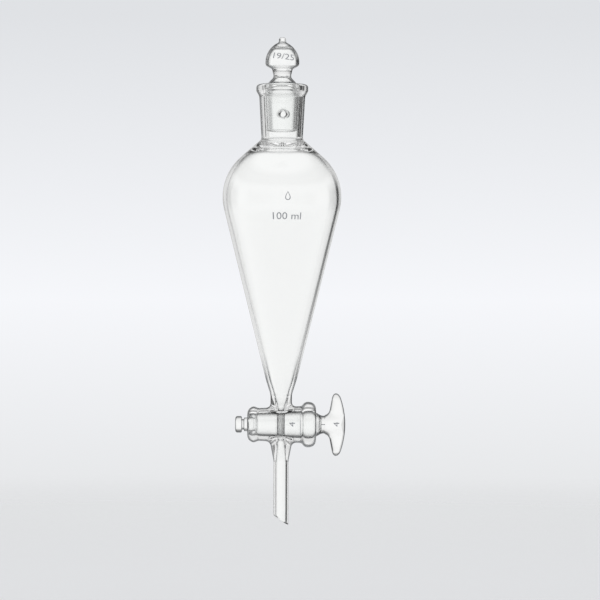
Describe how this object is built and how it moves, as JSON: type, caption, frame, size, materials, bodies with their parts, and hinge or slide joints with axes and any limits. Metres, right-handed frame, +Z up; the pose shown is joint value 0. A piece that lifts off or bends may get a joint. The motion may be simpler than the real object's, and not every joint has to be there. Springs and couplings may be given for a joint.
{
  "type": "separatory funnel",
  "caption": "Pear-shaped glass separatory funnel with a ground glass stopper, a glass stopcock with a wing handle and an oblique drip tip.",
  "frame": {"origin": "on the funnel's axis, at the height where the bowl's cone is 50 mm across and rests in a support ring", "axes": "+Z up along the funnel's axis towards the stopper, +X along the stopcock plug's axis towards its handle, -Y the front with the vent hole"},
  "size_m": [0.063, 0.0606, 0.2487],
  "materials": {
    "body_glass": "clear, fire polished",
    "stopper_glass": "clear, cone finely ground",
    "plug_glass": "clear, ground taper polished",
    "enamel": "fired grey enamel print"
  },
  "bodies": {
    "funnel": {"neck_socket": "body_glass", "bowl": "body_glass", "inlet_arm": "body_glass", "stopcock_barrel": "body_glass", "outlet_arm": "body_glass", "drip_stem": "body_glass"},
    "stopper": {"stopper": "stopper_glass"},
    "plug": {"stopcock_plug": "plug_glass"}
  },
  "joints": [
    {"name": "stopcock_turn", "type": "hinge", "parent": "funnel", "child": "plug", "pos_m": [0, 0, -0.09143], "axis": [1, 0, 0], "continuous": true},
    {"name": "stopper_lift", "type": "slide", "parent": "funnel", "child": "stopper", "axis": [0, 0, 1], "range_m": [0, 0.05]}
  ]
}
